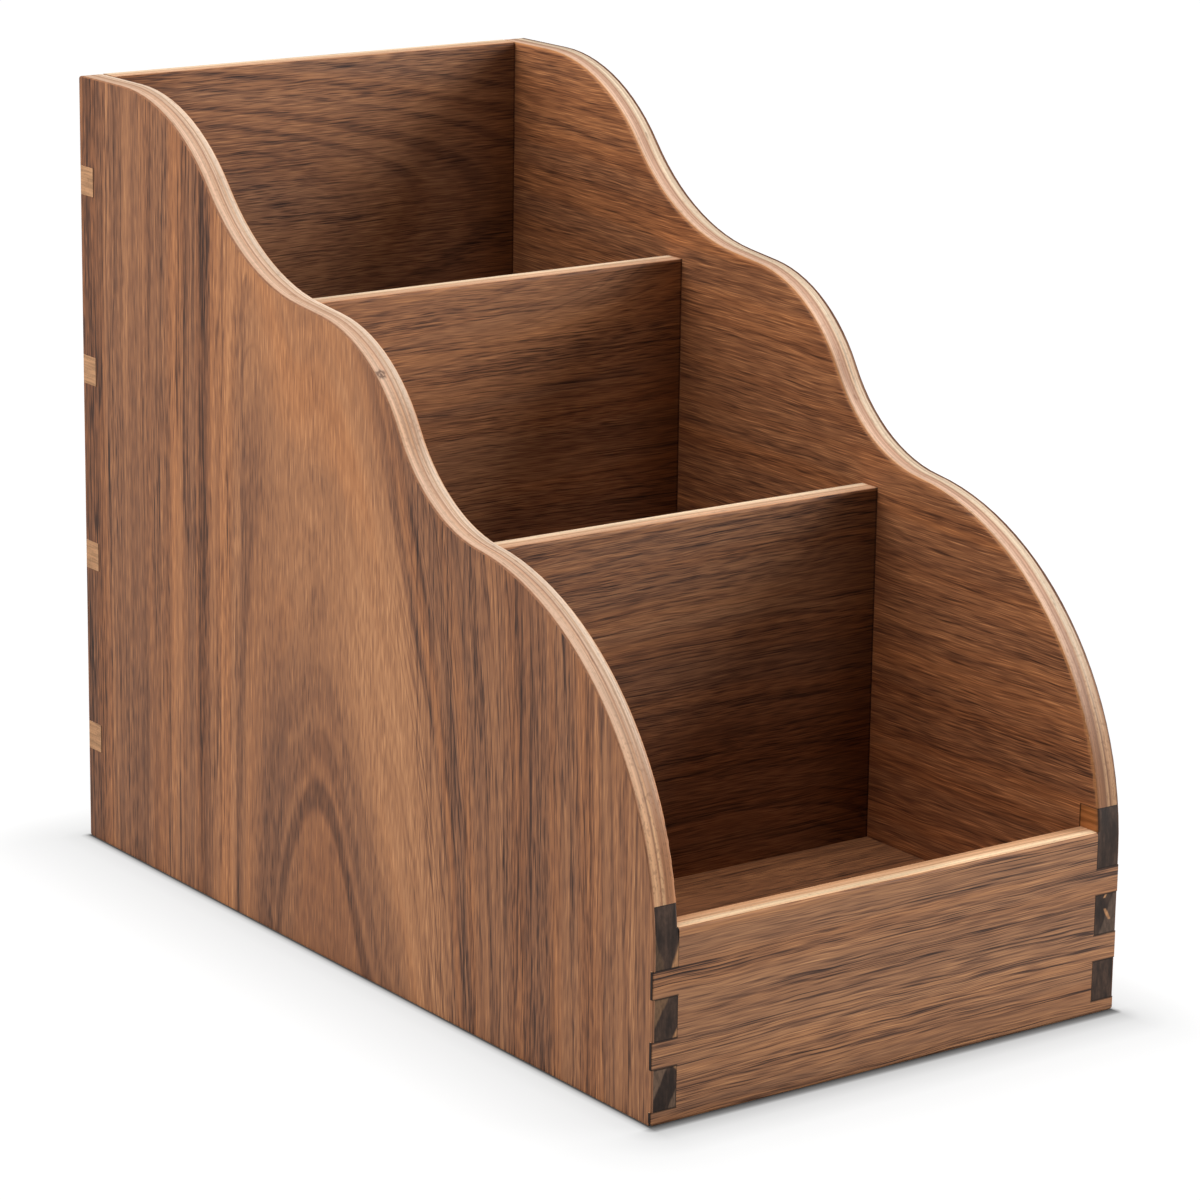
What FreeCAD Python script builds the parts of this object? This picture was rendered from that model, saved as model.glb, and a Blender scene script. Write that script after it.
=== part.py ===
"""Desk document organizer: a glued box of veneered plywood with three stepped bays and wavy sides.

Millimetres. +X is to the right, -Y is the front, +Z is up. The origin is at the middle of the base.
Each board is a plywood core between two face veneers. The sides carry a wave that steps down from
the back to the low front board. The back is finger-jointed through the sides, the front is
finger-jointed into solid walnut blocks, and the dividers and the raised floor sit in grooves.
"""
import FreeCAD, Part
import math
import os

from FreeCAD import Vector

# Room inside the bays
INNER_WIDTH = 216.0
FRONT_BAY = 138.0
MIDDLE_BAY = 132.0
REAR_BAY = 122.0

# Heights: the front board, then each step up to the next board behind it
FRONT_HEIGHT = 80.0
FRONT_STEP = 116.0
MIDDLE_STEP = 77.0
REAR_STEP = 82.0
FLOOR_LEVEL = 37.5

# Boards
BOARD = 12.0
FLOOR_BOARD = 12.0
VENEER = 0.8

# Wave along the top of each side: its coves stand over the dividers
COVE_RISE = 13.7
REAR_COVE_SETBACK = 2.0
FRONT_COVE_SETBACK = 5.7
REAR_RISER_RUN = 56.5
FRONT_RISER_RUN = 39.0
SHELF_TILT_DEG = 5.7
NOSE_DROP = 10.0

# Eased edges: the sides' outer faces have a narrow bevel, which stays inside their veneers
EDGE_ROUND = 1.5
OUTER_BEVEL = 0.4
CORNER_ROUND = 2.5
TIP_ROUND = 0.5

# Grooves that hold the dividers and the floor
GROOVE_DEPTH = 4.0
TONGUE_INSET = 6.0
FIT_GAP = 0.1

# Finger joint at the front corners
FOOT_FINGER = 6.0
SOCKET_HEIGHT = 17.5
FINGER_HEIGHT = 11.5
FINGER_LAP = 1.6
FINGER_PROUD = 0.3
SOCKET_ROUND = 0.8
BLOCK_RISE = 10.0
BLOCK_SPINE = 12.0

# Finger joint at the back corners
BACK_FINGER_FIRST = 49.3
BACK_FINGER_PITCH = 86.3
BACK_FINGER_HEIGHT = 13.0

# Reach of a cutting tool past the material that it cuts
OVERCUT = 5.0

# Places that follow from the sizes above
SIDE_INNER = INNER_WIDTH / 2
SIDE_OUTER = SIDE_INNER + BOARD
CORE_OUTER = SIDE_OUTER - VENEER
CORE_INNER = SIDE_INNER + VENEER
DEPTH = FRONT_BAY + MIDDLE_BAY + REAR_BAY + 4 * BOARD
FRONT_FACE = -DEPTH / 2
FRONT_INNER = FRONT_FACE + BOARD
BACK_FACE = DEPTH / 2
BACK_INNER = BACK_FACE - BOARD
FRONT_DIVIDER_Y = FRONT_INNER + FRONT_BAY
REAR_DIVIDER_Y = FRONT_DIVIDER_Y + BOARD + MIDDLE_BAY
FRONT_DIVIDER_TOP = FRONT_HEIGHT + FRONT_STEP
REAR_DIVIDER_TOP = FRONT_DIVIDER_TOP + MIDDLE_STEP
HEIGHT = REAR_DIVIDER_TOP + REAR_STEP
FLOOR_UNDERSIDE = FLOOR_LEVEL - FLOOR_BOARD
BLOCK_TOP = FRONT_HEIGHT + BLOCK_RISE
FINGER_TIP = CORE_OUTER - FIT_GAP
LAP_TIP = SIDE_OUTER + FINGER_PROUD
END_SHOULDER = SIDE_INNER - FIT_GAP


# Small helpers

def box(x, y, z):
    """A box from (low, high) pairs along each axis."""
    size = [pair[1] - pair[0] for pair in (x, y, z)]
    return Part.makeBox(*size, Vector(x[0], y[0], z[0]))


def grown(pair, amount):
    """A (low, high) pair made larger at both ends."""
    return (pair[0] - amount, pair[1] + amount)


def both_ends(x):
    """The same (low, high) pair on the right and on the left of the middle."""
    return [x, (-x[1], -x[0])]


def cut_all(shape, tools):
    """The shape with every tool cut out of it."""
    for tool in tools:
        shape = shape.cut(tool)
    return shape.removeSplitter()


def spans(edge, axis):
    """The edge's low and high place along an axis named X, Y or Z."""
    bounds = edge.BoundBox
    return getattr(bounds, axis + "Min"), getattr(bounds, axis + "Max")


def lies_at(edge, axis, place):
    """True if the whole edge lies at one place along an axis."""
    low, high = spans(edge, axis)
    return math.isclose(low, place, abs_tol=1e-6) and math.isclose(high, place, abs_tol=1e-6)


def runs_along(edge, axis):
    """True if the edge is parallel to an axis."""
    low, high = spans(edge, axis)
    return math.isclose(high - low, edge.Length, abs_tol=1e-6)


def eased(shape, radius, wanted):
    """The shape with a round along each edge that the test picks."""
    return shape.makeFillet(radius, [edge for edge in shape.Edges if wanted(edge)])


def bevelled(shape, width, wanted):
    """The shape with a flat bevel along each edge that the test picks."""
    return shape.makeChamfer(width, [edge for edge in shape.Edges if wanted(edge)])


def rounded_face(points, reaches):
    """A flat face; each corner is rounded over its reach along both sides, or sharp where that is 0."""
    rounds = []
    edges = []
    for i, corner in enumerate(points):
        back = (points[i - 1] - corner).normalize()
        ahead = (points[(i + 1) % len(points)] - corner).normalize()
        start = corner + back * reaches[i]
        end = corner + ahead * reaches[i]
        rounds.append((start, end))
        if reaches[i] > 0:
            half = back.getAngle(ahead) / 2
            inward = (back + ahead).normalize()
            middle = corner + inward * reaches[i] * (1 / math.cos(half) - math.tan(half))
            edges.append(Part.Arc(start, middle, end).toShape())
    for i, (start, end) in enumerate(rounds):
        following = rounds[(i + 1) % len(rounds)][0]
        if end.distanceToPoint(following) > 1e-6:
            edges.append(Part.LineSegment(end, following).toShape())
    return Part.Face(Part.Wire(Part.__sortEdges__(edges)))


def layers(shape, axis, planes):
    """Cuts a board into its sheets at planes across an axis, lowest first."""
    bounds = shape.BoundBox
    sheets = []
    for low, high in zip(planes, planes[1:]):
        slab = {a: grown((getattr(bounds, a + "Min"), getattr(bounds, a + "Max")), OVERCUT) for a in "XYZ"}
        slab[axis] = (low, high)
        sheets.append(shape.common(box(slab["X"], slab["Y"], slab["Z"])).removeSplitter())
    return sheets


def sandwich(low, high):
    """The planes that bound a board's veneer, core and veneer."""
    return [low, low + VENEER, high - VENEER, high]


# Outline of a side, as (y, z) places

def wave_corners():
    """Corners of the wave before they are rounded, from the back to the front."""
    fall = math.tan(math.radians(SHELF_TILT_DEG))
    rear_cove = (REAR_DIVIDER_Y + BOARD / 2 + REAR_COVE_SETBACK, REAR_DIVIDER_TOP + COVE_RISE)
    front_cove = (FRONT_DIVIDER_Y + BOARD / 2 + FRONT_COVE_SETBACK, FRONT_DIVIDER_TOP + COVE_RISE)
    rear_shoulder = (rear_cove[0] + REAR_RISER_RUN, HEIGHT)
    front_shoulder_y = front_cove[0] + FRONT_RISER_RUN
    front_shoulder = (front_shoulder_y, rear_cove[1] - (rear_cove[0] - front_shoulder_y) * fall)
    nose = (FRONT_FACE, front_cove[1] - (front_cove[0] - FRONT_FACE) * fall)
    return [rear_shoulder, rear_cove, front_shoulder, front_cove, nose]


def wave_reaches(corners):
    """How far the round at each corner of the wave runs along both its sides.

    The two rounds of a riser meet at its middle, so that each step is one S-curve.
    The nose runs out just below the top of the front board.
    """
    rear_shoulder, rear_cove, front_shoulder, front_cove, nose = corners
    flat_top = BACK_FACE - CORNER_ROUND - rear_shoulder[0]
    rear_half = math.dist(rear_shoulder, rear_cove) / 2
    front_half = math.dist(front_shoulder, front_cove) / 2
    shelf_half = math.dist(rear_cove, front_shoulder) / 2
    last_shelf = math.dist(front_cove, nose)
    nose_fall = nose[1] - (FRONT_HEIGHT - NOSE_DROP)
    return [
        min(rear_half, flat_top),
        min(rear_half, shelf_half),
        min(front_half, shelf_half),
        front_half,
        min(nose_fall, last_shelf - front_half),
    ]


def side_blank(corner_round):
    """A side before its joints are cut, with its three square corners rounded by a radius or sharp."""
    wave = wave_corners()
    corners = [(BACK_FACE, HEIGHT), *wave, (FRONT_FACE, 0.0), (BACK_FACE, 0.0)]
    reaches = [corner_round, *wave_reaches(wave), corner_round, corner_round]
    face = rounded_face([Vector(SIDE_INNER, y, z) for y, z in corners], reaches)
    return face.extrude(Vector(BOARD, 0, 0))


# Places that two boards share

def front_finger_spans():
    """Heights of the front board's fingers: a low one at the foot, then as many as fit."""
    fingers = [(0.0, FOOT_FINGER)]
    pitch = SOCKET_HEIGHT + FINGER_HEIGHT
    for i in range(int((FRONT_HEIGHT - FOOT_FINGER) // pitch)):
        top = FOOT_FINGER + (i + 1) * pitch
        fingers.append((top - FINGER_HEIGHT, top))
    return fingers


def front_socket_spans():
    """Heights between the front board's fingers, where the corner blocks show."""
    fingers = front_finger_spans()
    tops = [finger[0] for finger in fingers[1:]] + [BLOCK_TOP]
    return [(finger[1], top) for finger, top in zip(fingers, tops)]


def socket_prism(x, z):
    """A bar from front to back of the front board, with its two inner corners rounded."""
    corners = [Vector(x[0], FRONT_FACE, z[0]), Vector(x[1], FRONT_FACE, z[0])]
    corners += [Vector(x[1], FRONT_FACE, z[1]), Vector(x[0], FRONT_FACE, z[1])]
    return rounded_face(corners, [SOCKET_ROUND, 0.0, 0.0, SOCKET_ROUND]).extrude(Vector(0, BOARD, 0))


def back_finger_spans():
    """Heights of the back board's fingers, as many as fit below the top edge."""
    half = BACK_FINGER_HEIGHT / 2
    room = HEIGHT - BACK_FINGER_FIRST - half
    count = int(room // BACK_FINGER_PITCH) + 1
    centres = [BACK_FINGER_FIRST + i * BACK_FINGER_PITCH for i in range(count)]
    return [(centre - half, centre + half) for centre in centres]


def floor_boxes(gap):
    """The floor between the boards, its side tongues and its end tongues, the tongues grown by a gap."""
    half_width = SIDE_INNER - FIT_GAP
    half_depth = BACK_INNER - FIT_GAP
    z = (FLOOR_UNDERSIDE, FLOOR_LEVEL)
    body = box((-half_width, half_width), (-half_depth, half_depth), z)
    side_reach = SIDE_INNER + GROOVE_DEPTH
    side_run = half_depth - TONGUE_INSET
    end_reach = BACK_INNER + GROOVE_DEPTH
    end_run = half_width - TONGUE_INSET
    z = grown(z, gap)
    sides = box(grown((-side_reach, side_reach), gap), grown((-side_run, side_run), gap), z)
    ends = box(grown((-end_run, end_run), gap), grown((-end_reach, end_reach), gap), z)
    return body, sides, ends


def divider_box(front_face, top, gap):
    """A divider with its ends in the sides' grooves, grown by a gap except at its foot."""
    half = SIDE_INNER + GROOVE_DEPTH + gap
    return box((-half, half), grown((front_face, front_face + BOARD), gap), (FLOOR_LEVEL, top + gap))


def groove_tools():
    """What the floor's tongues and the dividers' ends cut into the boards around them."""
    _, *tongues = floor_boxes(FIT_GAP)
    front_divider = divider_box(FRONT_DIVIDER_Y, FRONT_DIVIDER_TOP, FIT_GAP)
    rear_divider = divider_box(REAR_DIVIDER_Y, REAR_DIVIDER_TOP, FIT_GAP)
    return [*tongues, front_divider, rear_divider]


# Sub-parts

def finger_block(outer_eased, all_eased):
    """The solid block at the right front corner: a spine inside the side, with a finger for each socket.

    Its inner edge is eased only where it stands free above the front board.
    """
    x = (SIDE_INNER, CORE_OUTER)
    y = (FRONT_FACE, FRONT_INNER)
    *lower, (top_low, top_high) = front_socket_spans()
    fingers = [socket_prism(x, (low + FIT_GAP, high - FIT_GAP)) for low, high in lower]
    fingers.append(socket_prism(x, (top_low + FIT_GAP, top_high)))
    jointed = grown(x, OVERCUT), grown(y, OVERCUT), (0.0, FRONT_HEIGHT)
    free = grown(x, OVERCUT), grown(y, OVERCUT), (FRONT_HEIGHT, BLOCK_TOP + OVERCUT)
    body = box((CORE_INNER, CORE_OUTER), (FRONT_INNER, FRONT_INNER + BLOCK_SPINE), (0.0, BLOCK_TOP))
    for finger in fingers:
        body = body.fuse(finger.common(outer_eased).common(box(*jointed)))
    body = body.fuse(fingers[-1].common(all_eased).common(box(*free)))
    return cut_all(body, groove_tools())


def right_side():
    """The right side's core and veneers, and the block that its front fingers are cut in."""
    outer_eased = bevelled(side_blank(0.0), OUTER_BEVEL, lambda edge: lies_at(edge, "X", SIDE_OUTER))

    def free_inner_edge(edge):
        return lies_at(edge, "X", SIDE_INNER) and not lies_at(edge, "Y", BACK_FACE)

    all_eased = eased(outer_eased, EDGE_ROUND, free_inner_edge)
    board = all_eased.common(side_blank(CORNER_ROUND))

    through = grown((SIDE_INNER, SIDE_OUTER), OVERCUT)
    notches = [
        box(through, (BACK_INNER - FIT_GAP, BACK_FACE + OVERCUT), grown(finger, FIT_GAP))
        for finger in back_finger_spans()
    ]
    inner, core, outer = layers(cut_all(board, notches), "X", sandwich(SIDE_INNER, SIDE_OUTER))

    foot_to_block_top = (-OVERCUT, BLOCK_TOP)
    block_room = box(through, (FRONT_FACE - OVERCUT, FRONT_INNER + BLOCK_SPINE), foot_to_block_top)
    finger_room = box(through, (FRONT_FACE - OVERCUT, FRONT_INNER), foot_to_block_top)
    laps = [
        box(through, (FRONT_FACE - OVERCUT, FRONT_FACE + FINGER_LAP + FIT_GAP), grown(finger, FIT_GAP))
        for finger in front_finger_spans()
    ]
    return {
        "core": cut_all(core, [block_room, *groove_tools()]),
        "outer_veneer": cut_all(outer, laps),
        "inner_veneer": cut_all(inner, [finger_room, *groove_tools()]),
        "finger_block": finger_block(outer_eased, all_eased),
    }


def back():
    """The back board, with fingers that show on the outside of both sides."""
    blank = box((-SIDE_OUTER, SIDE_OUTER), (BACK_INNER, BACK_FACE), (0.0, HEIGHT))

    def outer_edge(edge):
        return runs_along(edge, "Z") and lies_at(edge, "Y", BACK_FACE)

    board = bevelled(eased(blank, EDGE_ROUND, lambda edge: runs_along(edge, "X")), OUTER_BEVEL, outer_edge)
    y = grown((BACK_INNER, BACK_FACE), OVERCUT)
    levels = [-OVERCUT, *[level for finger in back_finger_spans() for level in finger], HEIGHT + OVERCUT]
    waste = [
        box(x, y, z)
        for z in zip(levels[0::2], levels[1::2])
        for x in both_ends((END_SHOULDER, SIDE_OUTER + OVERCUT))
    ]
    inner, core, outer = layers(cut_all(board, waste + groove_tools()), "Y", sandwich(BACK_INNER, BACK_FACE))
    return {"core": core, "outer_veneer": outer, "inner_veneer": inner}


def front():
    """The low front board. Its fingers stop under the sides' outer veneers, but for a thin lap in front."""
    y = (FRONT_FACE, FRONT_INNER)
    blank = box((-LAP_TIP, LAP_TIP), y, (0.0, FRONT_HEIGHT))
    board = eased(blank, EDGE_ROUND, lambda edge: runs_along(edge, "X"))

    def tip_edge(edge):
        return runs_along(edge, "Z") and lies_at(edge, "Y", FRONT_FACE)

    board = eased(board, TIP_ROUND, tip_edge)
    corners = [Vector(x, FRONT_FACE, z) for x, z in ((-LAP_TIP, 0.0), (LAP_TIP, 0.0))]
    corners += [Vector(x, FRONT_FACE, FRONT_HEIGHT) for x in (LAP_TIP, -LAP_TIP)]
    foot_rounded = rounded_face(corners, [CORNER_ROUND, CORNER_ROUND, 0.0, 0.0])
    board = board.common(foot_rounded.extrude(Vector(0, BOARD, 0)))

    behind_lap = (FRONT_FACE + FINGER_LAP, FRONT_INNER + OVERCUT)
    waste = [
        box(x, behind_lap, grown((0.0, FRONT_HEIGHT), OVERCUT))
        for x in both_ends((FINGER_TIP, LAP_TIP + OVERCUT))
    ]
    for socket in front_socket_spans():
        right = socket_prism((END_SHOULDER, LAP_TIP + OVERCUT), socket)
        waste += [right, right.mirror(Vector(0, 0, 0), Vector(1, 0, 0))]
    outer, core, inner = layers(cut_all(board, waste + groove_tools()), "Y", sandwich(*y))
    return {"core": core, "outer_veneer": outer, "inner_veneer": inner}


def divider(front_face, top):
    """An upright divider with an eased top edge."""
    blank = divider_box(front_face, top, 0.0)
    board = eased(blank, EDGE_ROUND, lambda edge: runs_along(edge, "X") and lies_at(edge, "Z", top))
    front_veneer, core, rear_veneer = layers(board, "Y", sandwich(front_face, front_face + BOARD))
    return {"core": core, "front_veneer": front_veneer, "rear_veneer": rear_veneer}


def floor():
    """The raised floor that all three bays share, with a tongue on each of its four sides."""
    body, *tongues = floor_boxes(0.0)
    board = body.fuse(tongues).removeSplitter()
    bottom, core, top = layers(board, "Z", sandwich(FLOOR_UNDERSIDE, FLOOR_LEVEL))
    return {"core": core, "top_veneer": top, "bottom_veneer": bottom}


def mirrored(pieces):
    """The same pieces on the other side of the middle plane."""
    return {name: shape.mirror(Vector(0, 0, 0), Vector(1, 0, 0)) for name, shape in pieces.items()}


def all_boards():
    """Every board by name, each as its sheets and blocks."""
    right = right_side()
    return {
        "right_side": right,
        "left_side": mirrored(right),
        "back": back(),
        "front": front(),
        "floor": floor(),
        "front_divider": divider(FRONT_DIVIDER_Y, FRONT_DIVIDER_TOP),
        "rear_divider": divider(REAR_DIVIDER_Y, REAR_DIVIDER_TOP),
    }


def main():
    os.makedirs("parts", exist_ok=True)
    for board, pieces in all_boards().items():
        for piece, shape in pieces.items():
            node = f"{board}_{piece}"
            shape.exportStep(os.path.join("parts", node + ".step"))
            print(f"{node}: {len(shape.Solids)} solid, valid {shape.isValid()}, {shape.Volume:.0f} mm3")


main()
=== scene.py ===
"""Looks of the desk document organizer: walnut veneers, plywood edges and dark finger blocks in soft studio light.

Metres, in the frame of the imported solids: +X is right, -Y is the front, +Z is up. The solids keep their shapes.
Each board gets a wood of its own, made from noise that is stretched along the grain and bent round the pith.
"""

import math
from dataclasses import dataclass

import bpy
from mathutils import Matrix, Vector


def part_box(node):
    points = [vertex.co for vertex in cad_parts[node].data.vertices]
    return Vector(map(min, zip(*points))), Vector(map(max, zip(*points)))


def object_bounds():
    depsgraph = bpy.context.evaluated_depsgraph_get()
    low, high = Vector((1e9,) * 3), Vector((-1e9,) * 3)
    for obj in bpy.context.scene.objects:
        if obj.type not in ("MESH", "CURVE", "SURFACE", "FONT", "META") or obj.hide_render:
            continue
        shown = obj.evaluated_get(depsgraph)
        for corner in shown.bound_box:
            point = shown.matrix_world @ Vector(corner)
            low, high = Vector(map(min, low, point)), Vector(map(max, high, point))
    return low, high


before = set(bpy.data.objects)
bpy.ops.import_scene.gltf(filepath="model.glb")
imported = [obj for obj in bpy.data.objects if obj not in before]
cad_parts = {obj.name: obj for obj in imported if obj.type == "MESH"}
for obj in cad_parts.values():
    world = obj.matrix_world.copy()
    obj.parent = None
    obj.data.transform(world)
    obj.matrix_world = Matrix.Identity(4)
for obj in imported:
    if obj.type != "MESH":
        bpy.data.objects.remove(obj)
cad_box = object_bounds()

# Camera, as the photograph was taken: from the front left and above
CAMERA_PLACE = Vector((-1.1080, -1.5442, 0.6573))
CAMERA_YAW = math.radians(35.936)
CAMERA_PITCH = math.radians(15.066)
CAMERA_ROLL = math.radians(0.844)
CAMERA_LENS = 136.03
CAMERA_SENSOR = 36.0

# Studio: soft boxes by azimuth and elevation in degrees, as seen from the object, and power in watts
AIM = Vector((0.0, 0.0, 0.15))
SOFTBOX_DISTANCE = 1.8
SOFTBOX_SIZE = 1.3
SOFTBOXES = {
    "right_softbox": (58.0, 16.0, 38.0),
    "left_softbox": (240.0, 28.0, 19.0),
    "top_softbox": (270.0, 65.0, 10.0),
    "overhead_softbox": (0.0, 88.0, 11.0),
}
AMBIENT = (0.08, 0.065, 0.048)
WHITE = (1.0, 1.0, 1.0, 1.0)

# Floor: its glow by distance from the object's foot, as shares of the contact shadow's reach; the dimmer glow
# near the foot is a painted contact shadow
FLOOR_SIZE = 12.0
FLOOR_BASE = (0.05, 0.05, 0.05, 1.0)
FLOOR_ROUGHNESS = 0.9
CONTACT_REACH = 0.06
SIDE_PAINTED_SHADOW = ((0.0, 0.04), (0.012, 0.3), (0.04, 0.58), (0.08, 0.75), (0.25, 0.82), (1.0, 0.955))
FRONT_PAINTED_SHADOW = ((0.0, 0.05), (0.05, 0.2), (0.09, 0.55), (0.25, 0.74), (0.5, 0.87), (1.0, 0.95))
# The painted shadow ends sooner on the right and at the rear
RIGHT_FALL, REAR_FALL = 1.7, 1.6
LEAST_DISTANCE = 0.0001
# Far from the object the floor glows a little more, and only a share of its glow lights the object
FAR_GLOW = 0.045
FAR_GLOW_START, FAR_GLOW_END = 0.2, 1.4
FLOOR_LIGHT = 0.65


def tone(red, green, blue):
    """A linear colour from the 0 to 255 values of a screen."""
    def linear(value):
        share = value / 255
        return share / 12.92 if share <= 0.04045 else ((share + 0.055) / 1.055) ** 2.4
    return (linear(red), linear(green), linear(blue), 1.0)


# Finish of all the woods, and the depth of their pores and fibres
SATIN_SPECULAR = 0.2
WOOD_RELIEF = 0.00006
BLOCK_RELIEF = 0.00004


class Graph:
    """The node tree of one material, built with a short call for each node."""

    def __init__(self, name):
        self.material = bpy.data.materials.new(name)
        self.material.use_nodes = True
        self.tree = self.material.node_tree
        self.shader = self.tree.nodes["Principled BSDF"]
        self.coordinates = self.tree.nodes.new("ShaderNodeTexCoord")
        split = self.node("ShaderNodeSeparateXYZ", {0: self.coordinates.outputs["Object"]})
        self.place = dict(zip("XYZ", split.outputs))

    def node(self, kind, inputs, **settings):
        """A new node. Inputs are numbers, colours or other nodes' outputs, by socket name or place."""
        made = self.tree.nodes.new(kind)
        for key, value in settings.items():
            setattr(made, key, value)
        for key, value in inputs.items():
            self.feed(made.inputs[key], value)
        return made

    def feed(self, socket, value):
        """Links an output to a socket, or sets the socket to a value."""
        if isinstance(value, bpy.types.NodeSocket):
            self.tree.links.new(value, socket)
        else:
            socket.default_value = value

    def math(self, operation, *values):
        return self.node("ShaderNodeMath", dict(enumerate(values)), operation=operation).outputs[0]

    def add(self, *values):
        total = values[0]
        for value in values[1:]:
            total = self.math("ADD", total, value)
        return total

    def times(self, *values):
        product = values[0]
        for value in values[1:]:
            product = self.math("MULTIPLY", product, value)
        return product

    def size(self, value):
        """A value without its sign."""
        return self.math("ABSOLUTE", value)

    def length(self, *sides):
        """The distance whose parts along square axes are given."""
        return self.math("SQRT", self.add(*(self.times(side, side) for side in sides)))

    def centred(self, noise):
        """Noise from -0.5 to 0.5."""
        return self.math("SUBTRACT", noise, 0.5)

    def ease(self, value, start, end, low=0.0, high=1.0):
        """A smooth step from low to high while the value goes from start to end."""
        inputs = {"Value": value, "From Min": start, "From Max": end, "To Min": low, "To Max": high}
        return self.node("ShaderNodeMapRange", inputs, interpolation_type="SMOOTHSTEP").outputs[0]

    def share(self, value, start, end):
        """How far a value has gone from start to end, from 0 to 1."""
        inputs = {"Value": value, "From Min": start, "From Max": end}
        return self.node("ShaderNodeMapRange", inputs).outputs[0]

    def noise(self, places, counts, seed=None, detail=2.0, roughness=0.5):
        """Noise from 0 to 1, with a count of waves per metre along each place. A seed stands in for a third place."""
        scaled = [self.times(place, count) for place, count in zip(places, counts)]
        if seed is not None:
            scaled.append(seed)
        vector = self.node("ShaderNodeCombineXYZ", dict(enumerate(scaled))).outputs[0]
        inputs = {"Vector": vector, "Scale": 1.0, "Detail": detail, "Roughness": roughness}
        return self.node("ShaderNodeTexNoise", inputs).outputs[0]

    def dashes(self, x, y, thick, thin):
        """Scattered short dashes, one in each cell of two coordinates, which fade away from their middles."""
        vector = self.node("ShaderNodeCombineXYZ", {0: x, 1: y}).outputs[0]
        inputs = {"Vector": vector, "Scale": 1.0}
        cells = self.node("ShaderNodeTexVoronoi", inputs, voronoi_dimensions="2D")
        return self.ease(cells.outputs["Distance"], thick, thin)

    def mix(self, share, first, second, blend="MIX"):
        """The first colour, with a share of the second mixed in."""
        made = self.node("ShaderNodeMix", {0: share, 6: first, 7: second}, data_type="RGBA", blend_type=blend)
        return made.outputs[2]

    def tinted(self, colour, tint):
        """A colour multiplied by another."""
        return self.mix(1.0, colour, tint, "MULTIPLY")

    def grey(self, value):
        """A grey colour from a number."""
        return self.node("ShaderNodeCombineColor", {0: value, 1: value, 2: value}).outputs[0]

    def ramp(self, value, stops):
        """A colour that runs through (place, colour) stops."""
        made = self.node("ShaderNodeValToRGB", {0: value})
        elements = made.color_ramp.elements
        while len(elements) < len(stops):
            elements.new(1.0)
        for element, (place, colour) in zip(elements, stops):
            element.position = place
            element.color = colour
        return made.outputs[0]

    def facing(self, axis):
        """How squarely the surface faces along an axis, from 0 to 1."""
        split = self.node("ShaderNodeSeparateXYZ", {0: self.coordinates.outputs["Normal"]})
        return self.size(split.outputs[axis])

    def within(self, value, low, high, soft):
        """One between low and high, falling to zero over a soft edge."""
        return self.times(self.ease(value, low - soft, low + soft), self.ease(value, high + soft, high - soft))

    def nearest(self, value, marks):
        """The distance from a value to the nearest of some marks."""
        gaps = [self.size(self.add(value, -mark)) for mark in marks]
        least = gaps[0]
        for gap in gaps[1:]:
            least = self.math("MINIMUM", least, gap)
        return least

    def beyond(self, value):
        """A value where it is above zero, and zero elsewhere."""
        return self.math("MAXIMUM", value, 0.0)

    def finish(self, colour, roughness, height, relief):
        """Connects colour, roughness and a bump from a height of about 0 to 1 over a relief in metres."""
        bump = self.node("ShaderNodeBump", {"Height": height, "Strength": 1.0, "Distance": relief})
        self.feed(self.shader.inputs["Base Color"], colour)
        self.feed(self.shader.inputs["Roughness"], roughness)
        self.feed(self.shader.inputs["Normal"], bump.outputs[0])
        self.shader.inputs["Specular IOR Level"].default_value = SATIN_SPECULAR
        return self.material


@dataclass
class Band:
    """A paler or darker streak: its distance from the pith, half its width, the side of the pith and the shift.

    On one side it starts clear of the pith. Reach is how far beside the pith it shows.
    """
    ring: float
    half_width: float
    side: float
    shift: float
    clear: float = 0.025
    reach: float = 1.0


@dataclass
class Walnut:
    """How one walnut veneer is cut.

    The face meets the pith at a place across and along the grain, and leans away from it along the grain.
    Sway and ripple bend the grain. Dash and pore length are the lengths of a fibre and a pore, and all four are in
    metres. Pitch sets how close the fibres and pores lie. Broad, streak, line, stroke, pore, gleam and fibre say how
    much each of them shows. Within about the quiet distance beside the pith, streaks, lines and strokes show by the
    calm share. Fan spreads the rings on one side of the pith, below the place fan_along.
    Rim and ends are the colours of eased edges and finger ends; a pale rim is a painted highlight, and the front
    board's near-black ends hold painted shade. Seams are the heights of seams at the corners, and meets is the half
    width at which the board runs into the sides, where a painted corner shade darkens it.
    """
    along: str
    across: str
    seed: float
    pith_across: float
    pith_along: float
    lean: float
    sway: float = 0.006
    ripple: float = 0.0012
    dash: float = 0.085
    pitch: float = 1.0
    pore_length: float = 0.014
    broad: float = 0.35
    streak: float = 0.36
    line: float = 0.14
    stroke: float = 0.26
    pore: float = 0.28
    gleam: float = 0.14
    fibre: float = 0.75
    calm: float = 1.0
    quiet: float = 0.05
    fan: float = 0.0
    fan_along: float = 0.0
    tint: tuple = (1.0, 1.0, 1.0)
    bands: tuple = ()
    rim: tuple = ()
    ends: tuple = ()
    seams: tuple = ()
    meets: float = 0.0


# Colours of walnut from its darkest to its palest figure, the middle of the figure, and a warmer tint for patches
WALNUT_STOPS = [
    (0.0, tone(46, 31, 25)),
    (0.25, tone(86, 58, 44)),
    (0.5, tone(136, 93, 66)),
    (0.75, tone(172, 121, 83)),
    (1.0, tone(204, 150, 105)),
]
MIDDLE_FIGURE = 0.6
WARM_TINT = (1.06, 0.98, 0.88, 1.0)
# Distance from the pith within which the rings lie wider
PITH_ZONE = 0.07
BAND_SOFT = 0.01

# Waves per metre along and across the grain
SWAY_WAVES = (3.0, 6.0)
RIPPLE_WAVES = (26.0, 70.0)
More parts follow.
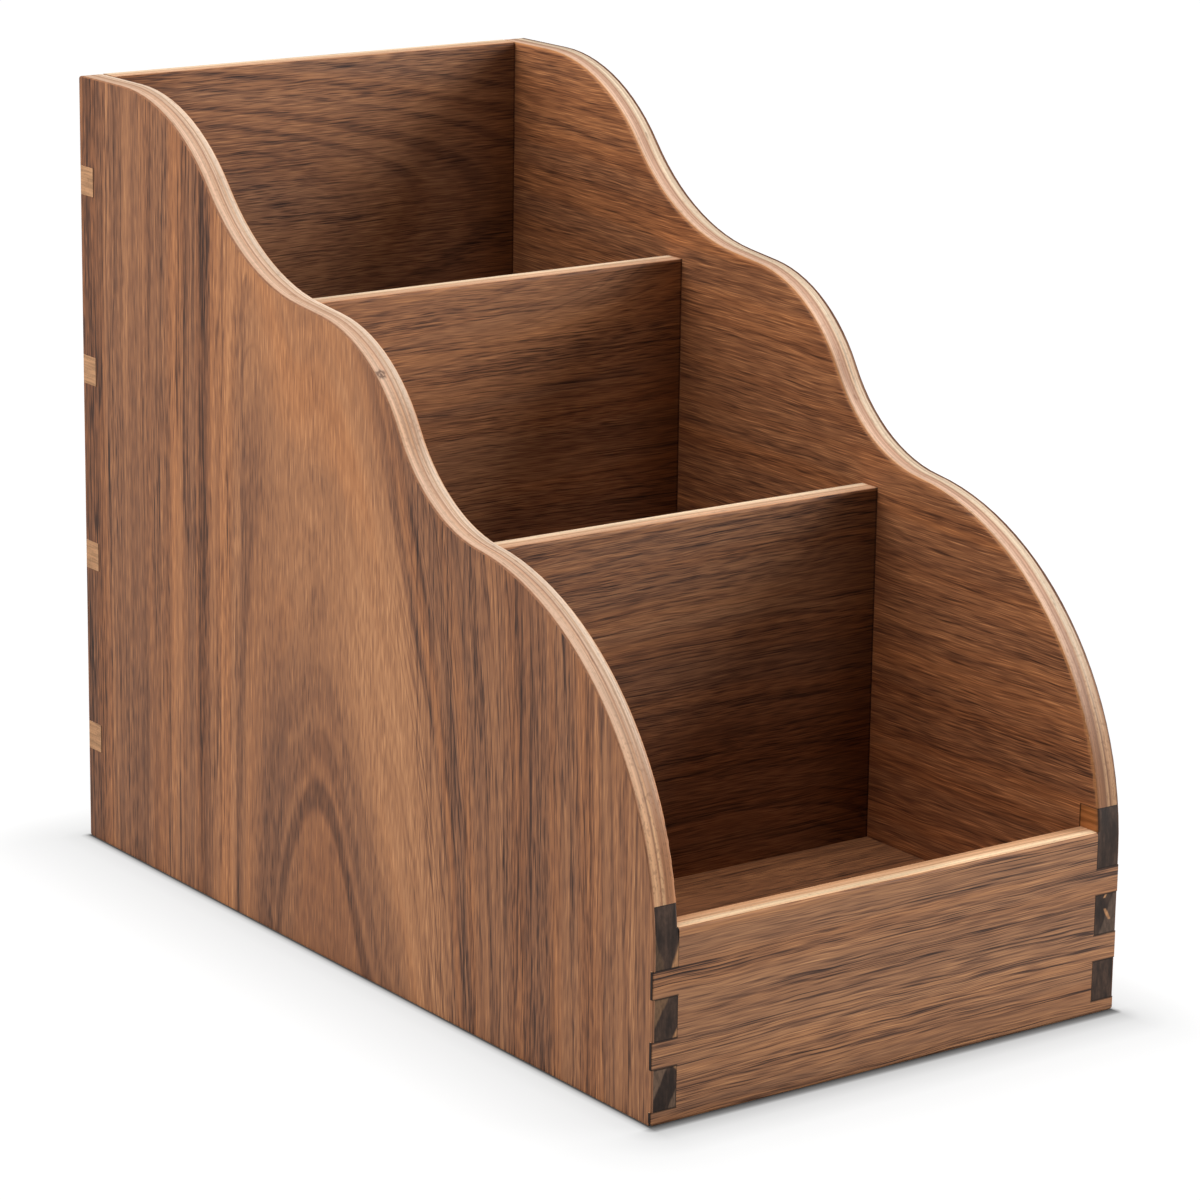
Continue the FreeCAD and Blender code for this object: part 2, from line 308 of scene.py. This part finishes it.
# Waves per metre through the rings, beside the pith and along the grain
BROAD_WAVES = (42.0, 9.0, 1.0)
STREAK_WAVES = (190.0, 22.0, 2.4)
LINE_WAVES = (260.0, 30.0, 7.0)
HUE_WAVES = (80.0, 11.0, 1.7)
# Waves per metre across and along the grain
POROUS_WAVES = (60.0, 8.0)
# Waves per metre across the grain, at a pitch of 1 apart from the gaps in strokes
STROKE_WAVES = 720.0
STROKE_GAP_WAVES = 110.0
FINE_PORE_WAVES = 1300.0
COARSE_PORE_WAVES = 800.0
GLEAM_WAVES = 1200.0
GLEAM_OFFSET = 3.3
LONG_FIBRE_WAVES = 1300.0
SHORT_FIBRE_WAVES = 1600.0


def lie_of_grain(g, cut, along):
    """The place across the bent grain, the place beside the pith and the distance from the pith."""
    across = g.place[cut.across]
    slow = g.centred(g.noise((along, across), SWAY_WAVES, cut.seed))
    fine = g.centred(g.noise((along, across), RIPPLE_WAVES, cut.seed))
    swayed = g.add(across, g.times(slow, 2 * cut.sway), g.times(fine, 2 * cut.ripple))

    aside = g.add(swayed, -cut.pith_across)
    above = g.times(g.add(g.place[cut.along], -cut.pith_along), cut.lean)
    if cut.fan:
        beside = g.times(g.ease(aside, -0.015, -0.085), g.ease(aside, -0.15, -0.085))
        below = g.add(cut.fan_along, g.times(g.place[cut.along], -1.0))
        above = g.times(above, g.ease(aside, 0.09, 0.01, 0.35, 1.0))
        aside = g.add(aside, g.times(beside, below, cut.fan))
    return swayed, aside, g.length(aside, above)


def walnut(name, cut):
    """A satin walnut veneer: ring bands, streaks, fine lines, pores and short fibres along the grain."""
    g = Graph(name)
    along = g.add(g.place[cut.along], cut.seed)
    swayed, aside, ring = lie_of_grain(g, cut, along)
    inner = g.math("MINIMUM", ring, PITH_ZONE)
    rings = g.add(ring, g.times(inner, -1.0), g.times(inner, inner, 0.5 / PITH_ZONE))
    log, face = (rings, aside, along), (swayed, along)

    broad = g.noise(log, BROAD_WAVES)
    streak = g.noise(log, STREAK_WAVES, detail=3.0, roughness=0.6)
    line = g.ease(g.size(g.centred(g.noise(log, LINE_WAVES))), 0.045, 0.0)
    ripples = g.noise(face, (STROKE_WAVES * cut.pitch, 0.5 / cut.dash), cut.seed, roughness=0.4)
    broken = g.ease(g.noise(face, (STROKE_GAP_WAVES, 0.4 / cut.dash), cut.seed, detail=1.0), 0.32, 0.58)
    stroke = g.times(g.ease(g.size(g.centred(ripples)), 0.05, 0.0), broken)

    pores, long_pores = g.times(along, 1.0 / cut.pore_length), g.times(along, 0.5 / cut.pore_length)
    fine_pore = g.dashes(g.times(swayed, FINE_PORE_WAVES * cut.pitch), pores, 0.36, 0.12)
    coarse_pore = g.dashes(g.times(swayed, COARSE_PORE_WAVES * cut.pitch), long_pores, 0.26, 0.1)
    porous = g.ease(g.noise(face, POROUS_WAVES, cut.seed), 0.35, 0.65, 0.4, 1.0)
    pore = g.times(g.math("MAXIMUM", g.times(fine_pore, 0.7), coarse_pore), porous)
    # Gleam: paler short fibres that stand in for light catching them, a painted highlight
    gleam = g.dashes(g.add(g.times(swayed, GLEAM_WAVES * cut.pitch), GLEAM_OFFSET), long_pores, 0.3, 0.08)

    long_fibre = g.noise(face, (LONG_FIBRE_WAVES * cut.pitch, 1 / cut.dash), cut.seed, detail=1.0)
    short_fibre = g.noise(face, (SHORT_FIBRE_WAVES * cut.pitch, 1.3 / cut.pore_length), cut.seed, detail=1.0)
    fibre = g.add(g.times(long_fibre, 0.45), g.times(short_fibre, 0.55))

    lively = g.ease(g.size(aside), 0.7 * cut.quiet, 1.3 * cut.quiet, cut.calm, 1.0)
    figure = g.add(
        MIDDLE_FIGURE,
        g.times(g.centred(broad), cut.broad),
        g.times(g.centred(streak), lively, cut.streak),
        g.times(line, g.ease(broad, 0.35, 0.65, -0.3, -1.0), lively, cut.line),
        g.times(stroke, lively, -cut.stroke),
        g.times(pore, -cut.pore),
        g.times(gleam, cut.gleam),
        g.times(g.centred(fibre), cut.fibre),
    )
    if cut.bands:
        figure = g.add(figure, *shown_bands(g, cut.bands, ring, aside, streak))

    stops = [(place, tuple(c * t for c, t in zip(colour, (*cut.tint, 1.0)))) for place, colour in WALNUT_STOPS]
    colour = g.ramp(figure, stops)
    hue = g.noise(log, HUE_WAVES)
    colour = g.mix(g.ease(hue, 0.4, 0.65), colour, g.tinted(colour, WARM_TINT))
    colour = joinery(g, cut, colour, fibre)

    height = g.add(g.times(fibre, 0.4), g.times(pore, -0.5), g.times(stroke, -0.3), g.times(line, -0.3))
    return g.finish(colour, g.ease(fibre, 0.25, 0.75, 0.46, 0.6), height, WOOD_RELIEF)


def shown_bands(g, bands, ring, aside, streak):
    """How far each band shifts the figure, more or less by the streaks that it runs through."""
    ragged = g.ease(streak, 0.3, 0.6, 0.7, 1.1)
    for band in bands:
        near = g.ease(g.size(g.add(ring, -band.ring)), band.half_width, 0.3 * band.half_width)
        beside = 1.0
        if band.side:
            beside = g.ease(g.times(aside, band.side), band.clear - BAND_SOFT, band.clear + BAND_SOFT)
        if band.reach < 1.0:
            beside = g.times(beside, g.ease(g.size(aside), band.reach, 0.4 * band.reach))
        yield g.times(near, beside, ragged, band.shift)


def joinery(g, cut, colour, fibre):
    """A veneer's colour with its eased edges, some with a painted highlight, finger ends, some with painted shade,
    seams and a painted corner shade where it meets the sides.
    """
    if cut.rim:
        # A pale rim colour is a painted highlight along the eased edges; the dark one is the veneer edge's own colour
        deep = ({"X", "Y", "Z"} - {cut.along, cut.across}).pop()
        rim_colour_and_highlight = g.tinted(cut.rim, g.grey(g.ease(fibre, 0.3, 0.7, 0.8, 1.15)))
        colour = g.mix(g.ease(g.facing(deep), 0.97, 0.7), colour, rim_colour_and_highlight)
    if cut.ends:
        colour = finger_ends(g, colour, cut.ends, cut.seed)
    if cut.seams:
        shut = g.ease(g.nearest(g.place["Z"], cut.seams), SEAM, 0.3 * SEAM)
        corner = g.ease(g.size(g.place["X"]), INNER_HALF - SEAM, INNER_HALF)
        colour = g.mix(g.times(shut, corner, 0.75), colour, SEAM_TONE)
    if cut.meets:
        # Painted shade: the board grows darker and browner within a few centimetres of the sides
        wide = g.size(g.place["X"])
        corner = g.ease(wide, cut.meets - PAINTED_CORNER_SHADE_REACH, cut.meets)
        colour = g.mix(corner, colour, g.tinted(colour, PAINTED_CORNER_SHADE_TONE))
        gap = g.ease(wide, cut.meets - 2 * SEAM, cut.meets - 0.5 * SEAM)
        colour = g.mix(g.times(gap, 0.5), colour, SEAM_TONE)
    return colour


# Waves per metre up and from front to rear
END_LINE_WAVES = (900.0, 60.0)
END_PIT_WAVES = (1100.0, 900.0)


def finger_ends(g, colour, end_colour, seed):
    """A colour with the cut ends of fibres where it faces sideways: fine level lines and pits."""
    face = (g.place["Z"], g.place["Y"])
    level_line = g.noise(face, END_LINE_WAVES, seed)
    pit = g.noise(face, END_PIT_WAVES, seed, detail=1.0)
    shade = g.add(g.ease(level_line, 0.3, 0.7, 0.75, 1.2), g.ease(pit, 0.55, 0.75, 0.0, -0.25))
    # With the front board's near-black colour this also paints the shade of the gaps at the finger ends
    return g.mix(g.ease(g.facing("X"), 0.6, 0.9), colour, g.tinted(end_colour, g.grey(shade)))


# Waves per metre along the edge, or through the plies and along the edge
WAVER_WAVES = (25.0, 25.0)
PLY_FIBRE_WAVES = (1500.0, 18.0, 18.0)
PLY_PIT_WAVES = (900.0, 600.0, 600.0)
PLY_FLECK_WAVES = (500.0, 110.0, 110.0)
PLY_WAVER = 0.12
PIT_TONE = tone(120, 82, 58)
FLECK_TONE = tone(120, 80, 55)
KNOT_RADIUS = 0.0028
KNOT_TONE = tone(84, 58, 50)


def plywood(name, through, first_face, last_face, plies, upright_plies, seed, ends=(), knot=()):
    """A plywood edge: plies from one face to the other, with fibres along them and pits.

    Where the edge stands upright it takes other, browner ply colours. The ends of a board's fingers show end grain,
    darkened on the front board with painted shade.
    A knot is a small dark smudge at a place.
    """
    g = Graph(name)
    depth = g.place[through]
    edge = tuple(g.place[axis] for axis in "XYZ" if axis != through)
    waver = g.centred(g.noise(edge, WAVER_WAVES, seed))
    share = g.add(g.share(depth, first_face, last_face), g.times(waver, PLY_WAVER))
    upright = g.ease(g.facing("Z"), 0.8, 0.25)
    colour = g.mix(upright, g.ramp(share, plies), g.ramp(share, upright_plies))

    fibre = g.noise((depth, *edge), PLY_FIBRE_WAVES, roughness=0.6)
    pit = g.noise((depth, *edge), PLY_PIT_WAVES, detail=1.0)
    dotted = g.ease(pit, 0.5, 0.72)
    fleck = g.ease(g.noise((depth, *edge), PLY_FLECK_WAVES), 0.66, 0.78)
    colour = g.tinted(colour, g.grey(g.ease(fibre, 0.28, 0.72, 0.76, 1.12)))
    colour = g.mix(g.times(dotted, g.ease(upright, 0.0, 1.0, 0.15, 0.4)), colour, PIT_TONE)
    colour = g.mix(g.times(fleck, 0.4), colour, FLECK_TONE)
    if knot:
        offsets = [g.times(g.add(g.place[axis], -middle), 1 / KNOT_RADIUS) for axis, middle in zip("XYZ", knot)]
        smudge = g.times(g.ease(g.length(*offsets), 1.2, 0.5), g.ease(pit, 0.38, 0.56, 0.3, 1.0))
        colour = g.mix(g.times(smudge, 0.75), colour, KNOT_TONE)
    if ends:
        colour = finger_ends(g, colour, ends, seed)
    height = g.add(g.times(fibre, 0.5), g.times(dotted, -0.4), g.times(fleck, -0.4))
    return g.finish(colour, g.ease(fibre, 0.2, 0.8, 0.5, 0.62), height, WOOD_RELIEF)


@dataclass
class Sapwood:
    """Paler wood on the front of a finger block, on one side of a line or along it.

    Heights are in metres. The line runs from one share of the block's width to another, counted from its inner face.
    """
    low: float
    high: float
    share_low: float
    share_high: float
    side: float
    colour: tuple


# Waves per metre across and up a block's front, and up and along its sides
BLOCK_WAVY_WAVES = (260.0, 55.0)
BLOCK_FIBRE_WAVES = (1000.0, 420.0)
BLOCK_SIDE_WAVES = (700.0, 60.0)
HEARTWOOD = tone(44, 31, 24), tone(72, 53, 42)
LONG_GRAIN = tone(138, 84, 45), tone(188, 122, 70)
SAPWOOD_SOFT = 0.0003


def dark_block(name, sapwood, seed):
    """A dark heartwood block: end grain and sapwood on the fronts of its fingers, warm long grain on its sides."""
    g = Graph(name)
    high, wide = g.place["Z"], g.size(g.place["X"])
    wavy = g.noise((wide, high), BLOCK_WAVY_WAVES, seed)
    fibre = g.noise((wide, high), BLOCK_FIBRE_WAVES, seed)
    colour = g.mix(g.ease(wavy, 0.35, 0.65), *HEARTWOOD)
    share = g.add(g.share(wide, INNER_HALF, OUTER_HALF), g.times(g.centred(wavy), 0.25))
    for patch in sapwood:
        slope = (patch.share_high - patch.share_low) / (patch.high - patch.low)
        edge = g.add(g.times(high, slope), patch.share_low - patch.low * slope)
        beyond = g.add(share, g.times(edge, -1.0))
        if patch.side:
            there = g.ease(g.times(beyond, patch.side), -0.05, 0.05)
        else:
            there = g.ease(g.size(beyond), 0.1, 0.02)
        colour = g.mix(g.times(there, g.within(high, patch.low, patch.high, SAPWOOD_SOFT)), colour, patch.colour)
    colour = g.tinted(colour, g.grey(g.ease(fibre, 0.28, 0.72, 0.75, 1.2)))

    warm = g.noise((high, g.place["Y"]), BLOCK_SIDE_WAVES, seed)
    sideways = g.facing("X")
    colour = g.mix(g.ease(sideways, 0.5, 0.8), colour, g.mix(g.ease(warm, 0.3, 0.7), *LONG_GRAIN))

    behind = g.ease(g.place["Y"], BLOCK_REAR - 2 * SEAM, BLOCK_REAR - 0.5 * SEAM)
    colour = g.mix(g.times(behind, sideways, 0.8), colour, SEAM_TONE)
    shut = g.ease(g.nearest(high, SOCKET_ENDS), SEAM, 0.3 * SEAM)
    beside = g.ease(wide, INNER_HALF + SEAM, INNER_HALF + 0.3 * SEAM)
    seam = g.math("MAXIMUM", shut, g.times(beside, g.ease(sideways, 0.8, 0.5), 0.6))
    colour = g.mix(g.times(seam, 0.8), colour, SEAM_TONE)
    return g.finish(colour, g.ease(fibre, 0.2, 0.8, 0.42, 0.58), fibre, BLOCK_RELIEF)


# Joints at the front corners: half the width inside and outside, and the lower and upper ends of the blocks' sockets
INNER_HALF = 0.108
OUTER_HALF = 0.120
SOCKET_ENDS = (0.006, 0.0235, 0.035, 0.0525, 0.064, 0.090)
# The last socket ends above the front board
FINGER_SEAMS = SOCKET_ENDS[:-1]
BLOCK_REAR = -0.208
SEAM = 0.0006
SEAM_TONE = tone(26, 17, 13)
# Painted corner shade: how far from the sides it reaches, and the colour that it multiplies in
PAINTED_CORNER_SHADE_REACH = 0.045
PAINTED_CORNER_SHADE_TONE = (0.58, 0.46, 0.34, 1.0)
LEFT_KNOT = (-0.1168, -0.0218, 0.2631)
BACK_ENDS = tone(184, 138, 100)
# The front board's finger ends: dark end grain, darkened to near black as painted shade of the gaps round the fingers
FRONT_END_GRAIN_AND_SHADE = tone(44, 29, 22)
# Rims: the two paler ones are painted highlights along the eased edges, the dark one is the veneer's own edge
PAINTED_HIGHLIGHT_RIM = tone(186, 126, 80)
LEFT_PAINTED_HIGHLIGHT_RIM = tone(158, 110, 80)
DARK_RIM = tone(96, 62, 43)

TAN, BROWN, GREY_BROWN = tone(176, 128, 88), tone(112, 84, 60), tone(104, 82, 66)
LEFT_SAPWOOD = (
    Sapwood(0.064, 0.083, 0.6, 1.0, 1.0, tone(86, 65, 48)),
    Sapwood(0.064, 0.075, 0.27, 0.0, -1.0, TAN),
    Sapwood(0.040, 0.0525, 0.95, 0.38, 1.0, BROWN),
    Sapwood(0.035, 0.0395, 0.2, 0.0, -1.0, TAN),
    Sapwood(0.010, 0.0235, 0.95, 0.38, 1.0, GREY_BROWN),
    Sapwood(0.006, 0.014, 0.3, 0.0, -1.0, GREY_BROWN),
    Sapwood(0.0215, 0.0235, 0.0, 0.12, -1.0, TAN),
)
RIGHT_SAPWOOD = (
    Sapwood(0.035, 0.0525, 0.2, 0.8, 1.0, tone(88, 70, 58)),
    Sapwood(0.041, 0.046, 0.65, 0.42, 0.0, TAN),
    Sapwood(0.0508, 0.0525, 0.4, 0.5, 0.0, TAN),
)
FINGER_BLOCKS = {
    "left_side_finger_block": (LEFT_SAPWOOD, 1.7),
    "right_side_finger_block": (RIGHT_SAPWOOD, 4.3),
}

# The left side shows an arch of rings low down, a pale zone beside it, and straight streaks to the front and rear
LEFT_OUTER = Walnut(
    "Z", "Y", 0.7, pith_across=0.022, pith_along=-0.117, lean=0.21, sway=0.002, ripple=0.0007,
    dash=0.14, pitch=0.48, pore_length=0.011, broad=0.3, streak=0.64, line=0.3, stroke=0.24, pore=0.17, fibre=0.42,
    calm=0.12, quiet=0.055, fan=0.12, fan_along=0.235, tint=(1.04, 1.01, 1.02), rim=LEFT_PAINTED_HIGHLIGHT_RIM,
    bands=(
        Band(0.026, 0.016, 0.0, -0.08),
        Band(0.0397, 0.0022, 0.0, -0.22),
        Band(0.0445, 0.0025, 0.0, -0.12),
        Band(0.050, 0.003, 0.0, -0.06),
        Band(0.0575, 0.004, 0.0, -0.10, reach=0.01),
        Band(0.072, 0.026, 0.0, 0.15),
        Band(0.068, 0.018, -1.0, 0.08),
        Band(0.0895, 0.003, -1.0, -0.11),
        Band(0.097, 0.002, -1.0, -0.10),
        Band(0.105, 0.003, -1.0, -0.12),
        Band(0.130, 0.004, -1.0, -0.14),
        Band(0.165, 0.012, -1.0, -0.08),
        Band(0.225, 0.030, -1.0, 0.10),
        Band(0.068, 0.004, 1.0, -0.20, clear=0.045),
        Band(0.050, 0.014, 1.0, -0.08),
        Band(0.096, 0.008, 1.0, -0.19),
        Band(0.190, 0.012, 1.0, -0.22),
    ),
)
RIGHT_OUTER = Walnut(
    "Z", "Y", 2.9, pith_across=-0.05, pith_along=-0.2, lean=0.15, sway=0.003, ripple=0.0005,
    pitch=0.5, pore_length=0.012, broad=0.4, streak=0.85, stroke=0.2, pore=0.22, fibre=0.7,
    tint=(0.88, 0.82, 0.78), rim=DARK_RIM,
)


def level(along, across, seed, pith_across=0.5, pith_along=-0.4, lean=0.12, **look):
    """A veneer whose grain lies level."""
    return Walnut(along, across, seed, pith_across, pith_along, lean, **look)


RIGHT_INNER = level(
    "Y", "Z", 3.7, dash=0.05, pore_length=0.017, streak=0.7, stroke=0.16, pore=0.18, gleam=0.26, fibre=1.0,
    tint=(1.15, 1.07, 1.0), rim=PAINTED_HIGHLIGHT_RIM,
)
# The back shows thin arcs of rings
BACK_INNER = level(
    "X", "Z", 5.3, pith_across=0.283, pith_along=-0.42, lean=0.15, sway=0.003, ripple=0.001, dash=0.05, line=0.03,
    gleam=0.2, tint=(0.94, 0.98, 1.08), ends=BACK_ENDS, meets=INNER_HALF,
    bands=(
        Band(0.0605, 0.0010, 0.0, -0.05),
        Band(0.0655, 0.0013, 0.0, -0.08),
        Band(0.0715, 0.0010, 1.0, -0.14, clear=0.008),
        Band(0.0765, 0.0016, 1.0, -0.18, clear=0.008),
        Band(0.0825, 0.0009, 1.0, -0.14, clear=0.008),
        Band(0.0880, 0.0015, 1.0, -0.15, clear=0.008),
        Band(0.0940, 0.0010, 1.0, -0.14, clear=0.008),
        Band(0.1000, 0.0016, 1.0, -0.12, clear=0.008),
        Band(0.0790, 0.0026, -1.0, -0.16, clear=0.012),
        Band(0.0900, 0.0034, -1.0, -0.20, clear=0.012),
    ),
)
FRONT_OUTER = level(
    "X", "Z", 6.1, pore_length=0.022, stroke=0.42, pore=0.24,
    tint=(1.11, 1.18, 1.24), ends=FRONT_END_GRAIN_AND_SHADE, seams=FINGER_SEAMS,
)
FRONT_DIVIDER_FRONT = level(
    "X", "Z", 10.3, pith_across=0.0, pith_along=0.02, lean=0.45, line=0.2, streak=0.5, stroke=0.3,
    tint=(0.81, 0.83, 0.87), meets=INNER_HALF,
)
REAR_DIVIDER_FRONT = level(
    "X", "Z", 12.7, pith_across=0.3, pith_along=-0.16, lean=0.2, streak=0.45, stroke=0.28,
    tint=(1.17, 1.2, 1.23), meets=INNER_HALF,
)
VENEERS = {
    "left_side_outer_veneer": LEFT_OUTER,
    "left_side_inner_veneer": level("Y", "Z", 1.3, rim=PAINTED_HIGHLIGHT_RIM),
    "right_side_outer_veneer": RIGHT_OUTER,
    "right_side_inner_veneer": RIGHT_INNER,
    "back_outer_veneer": level("X", "Z", 4.1, ends=BACK_ENDS),
    "back_inner_veneer": BACK_INNER,
    "front_outer_veneer": FRONT_OUTER,
    "front_inner_veneer": level("X", "Z", 7.7, ends=FRONT_END_GRAIN_AND_SHADE),
    "floor_top_veneer": level("X", "Y", 8.9, tint=(1.2, 1.14, 1.06)),
    "floor_bottom_veneer": level("X", "Y", 9.1),
    "front_divider_front_veneer": FRONT_DIVIDER_FRONT,
    "front_divider_rear_veneer": level("X", "Z", 11.9),
    "rear_divider_front_veneer": REAR_DIVIDER_FRONT,
    "rear_divider_rear_veneer": level("X", "Z", 13.3),
}

# Plies of the sides from their outer to their inner faces, and of the cross boards from front to rear
LEFT_PLIES = [
    (0.0, tone(206, 167, 139)), (0.15, tone(222, 187, 161)), (0.3, tone(212, 175, 148)), (0.45, tone(202, 161, 132)),
    (0.5, tone(171, 127, 101)), (0.55, tone(218, 187, 162)), (0.66, tone(210, 177, 150)), (0.71, tone(194, 156, 127)),
    (0.77, tone(226, 200, 176)), (0.92, tone(231, 206, 184)), (1.0, tone(222, 184, 150)),
]
RIGHT_PLIES = [
    (0.0, tone(98, 62, 46)), (0.06, tone(112, 74, 54)), (0.1, tone(218, 194, 169)), (0.2, tone(208, 182, 156)),
    (0.32, tone(231, 211, 185)), (0.42, tone(216, 188, 160)), (0.5, tone(175, 132, 105)), (0.58, tone(204, 165, 141)),
    (0.66, tone(190, 149, 124)), (0.75, tone(218, 180, 156)), (0.9, tone(224, 188, 162)), (1.0, tone(214, 164, 122)),
]
SIDE_UPRIGHT_PLIES = [
    (0.0, tone(162, 120, 86)), (0.15, tone(190, 146, 108)), (0.3, tone(168, 124, 90)), (0.36, tone(112, 74, 50)),
    (0.42, tone(192, 149, 110)), (0.52, tone(170, 127, 92)), (0.58, tone(132, 88, 58)), (0.8, tone(144, 98, 66)),
    (1.0, tone(158, 108, 72)),
]
FRONT_PLIES = [
    (0.0, tone(246, 200, 156)), (0.2, tone(255, 226, 186)), (0.42, tone(250, 210, 168)), (0.5, tone(214, 162, 122)),
    (0.62, tone(236, 188, 146)), (0.8, tone(216, 162, 120)), (1.0, tone(230, 178, 134)),
]
DIVIDER_PLIES = [
    (0.0, tone(208, 154, 118)), (0.15, tone(230, 184, 148)), (0.35, tone(238, 194, 158)), (0.48, tone(212, 164, 128)),
    (0.58, tone(246, 208, 172)), (0.8, tone(255, 230, 198)), (1.0, tone(248, 214, 178)),
]
# Sides: their plies, how much paler their upright plies are, and a knot; the paleness is painted light, paler on the
# left nose and darker on the right
SIDE_BOARDS = {
    "left_side_core": (LEFT_PLIES, 1.42, LEFT_KNOT),
    "right_side_core": (RIGHT_PLIES, 0.93, ()),
}
CROSS_BOARDS = {
    "front_core": (FRONT_PLIES, FRONT_END_GRAIN_AND_SHADE),
    "back_core": (DIVIDER_PLIES, BACK_ENDS),
    "front_divider_core": (DIVIDER_PLIES, ()),
    "rear_divider_core": (DIVIDER_PLIES, ()),
}
# A board's place times this is the seed of its noise
SEED_SCALE = 20
FLOOR_SEED = 3.3


def show_boards():
    """Gives every node of the frame its wood."""
    for name, cut in VENEERS.items():
        set_material(name, walnut(name, cut))
    for name, (sapwood, seed) in FINGER_BLOCKS.items():
        set_material(name, dark_block(name, sapwood, seed))
    for name, (plies, light, knot) in SIDE_BOARDS.items():
        faces = sorted((corner.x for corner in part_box(name)), key=abs, reverse=True)
        # Painted light: each side's upright plies are made paler or darker for how light falls on its nose
        upright = [(place, (*(light * c for c in colour[:3]), 1.0)) for place, colour in SIDE_UPRIGHT_PLIES]
        set_material(name, plywood(name, "X", *faces, plies, upright, faces[0] * SEED_SCALE, knot=knot))
    for name, (plies, ends) in CROSS_BOARDS.items():
        front, rear = (corner.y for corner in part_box(name))
        set_material(name, plywood(name, "Y", front, rear, plies, plies, front * SEED_SCALE, ends))
    low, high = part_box("floor_core")
    set_material("floor_core", plywood("floor_core", "Z", high.z, low.z, FRONT_PLIES, FRONT_PLIES, FLOOR_SEED))


def set_material(name, material):
    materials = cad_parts[name].data.materials
    materials.clear()
    materials.append(material)


def make_floor():
    """A plain pale sweep that shines, less so at the object's foot, where its dimmer glow paints the contact shadow."""
    bpy.ops.mesh.primitive_plane_add(size=FLOOR_SIZE)
    floor = bpy.context.object
    floor.name = "studio_floor"
    g = Graph("studio_floor")
    half_width, half_depth = (max(abs(corner[axis]) for corner in cad_box) for axis in (0, 1))
    left = g.beyond(g.add(g.times(g.place["X"], -1.0), -half_width))
    right = g.beyond(g.add(g.place["X"], -half_width))
    beside = g.add(left, g.times(right, RIGHT_FALL))
    before = g.beyond(g.add(g.times(g.place["Y"], -1.0), -half_depth))
    behind = g.times(g.beyond(g.add(g.place["Y"], -half_depth)), REAR_FALL)
    away = g.length(beside, before, behind)
    share = g.math("DIVIDE", away, CONTACT_REACH)
    ahead = g.math("DIVIDE", before, g.math("MAXIMUM", g.add(before, beside, behind), LEAST_DISTANCE))
    side, front = ([(place, (glow, glow, glow, 1.0)) for place, glow in ramp] for ramp in (SIDE_PAINTED_SHADOW, FRONT_PAINTED_SHADOW))
    # Painted contact shadow: the floor's glow dims towards the object's foot
    contact = g.mix(ahead, g.ramp(share, side), g.ramp(share, front))
    seen = g.node("ShaderNodeLightPath", {}).outputs["Is Camera Ray"]
    glow = g.add(contact, g.ease(away, FAR_GLOW_START, FAR_GLOW_END, 0.0, FAR_GLOW))
    g.feed(g.shader.inputs["Emission Strength"], g.times(glow, g.ease(seen, 0.0, 1.0, FLOOR_LIGHT, 1.0)))
    g.shader.inputs["Base Color"].default_value = FLOOR_BASE
    g.shader.inputs["Roughness"].default_value = FLOOR_ROUGHNESS
    g.shader.inputs["Emission Color"].default_value = WHITE
    floor.data.materials.append(g.material)


def make_light():
    """Soft boxes in a dim warm room, whose walls look white to the camera."""
    world = bpy.data.worlds.new("studio")
    world.use_nodes = True
    nodes, links = world.node_tree.nodes, world.node_tree.links
    seen = nodes.new("ShaderNodeLightPath").outputs["Is Camera Ray"]
    colour = nodes.new("ShaderNodeMix")
    colour.data_type = "RGBA"
    colour.inputs[6].default_value = (*AMBIENT, 1.0)
    colour.inputs[7].default_value = WHITE
    links.new(seen, colour.inputs[0])
    links.new(colour.outputs[2], nodes["Background"].inputs["Color"])
    bpy.context.scene.world = world
    for name, (azimuth, elevation, power) in SOFTBOXES.items():
        add_softbox(name, math.radians(azimuth), math.radians(elevation), power)


def add_softbox(name, azimuth, elevation, power):
    """A round soft box that looks at the object."""
    light = bpy.data.lights.new(name, "AREA")
    light.shape = "DISK"
    light.size = SOFTBOX_SIZE
    light.energy = power
    outward = Vector((
        math.sin(azimuth) * math.cos(elevation),
        -math.cos(azimuth) * math.cos(elevation),
        math.sin(elevation),
    ))
    lamp = bpy.data.objects.new(name, light)
    lamp.location = AIM + outward * SOFTBOX_DISTANCE
    lamp.rotation_mode = "QUATERNION"
    lamp.rotation_quaternion = (-outward).to_track_quat("-Z", "Y")
    bpy.context.scene.collection.objects.link(lamp)


def make_camera():
    """The camera at the photograph's viewing angle."""
    forward = Vector((
        math.sin(CAMERA_YAW) * math.cos(CAMERA_PITCH),
        math.cos(CAMERA_YAW) * math.cos(CAMERA_PITCH),
        -math.sin(CAMERA_PITCH),
    ))
    level_right = Vector((math.cos(CAMERA_YAW), -math.sin(CAMERA_YAW), 0.0))
    level_up = level_right.cross(forward)
    right = math.cos(CAMERA_ROLL) * level_right + math.sin(CAMERA_ROLL) * level_up
    up = right.cross(forward)
    data = bpy.data.cameras.new("camera")
    data.lens = CAMERA_LENS
    data.sensor_width = CAMERA_SENSOR
    camera = bpy.data.objects.new("camera", data)
    camera.matrix_world = Matrix.Translation(CAMERA_PLACE) @ Matrix((right, up, -forward)).transposed().to_4x4()
    bpy.context.scene.collection.objects.link(camera)
    bpy.context.scene.camera = camera


show_boards()
make_floor()
make_light()
make_camera()
bpy.context.scene.view_settings.view_transform = "Standard"
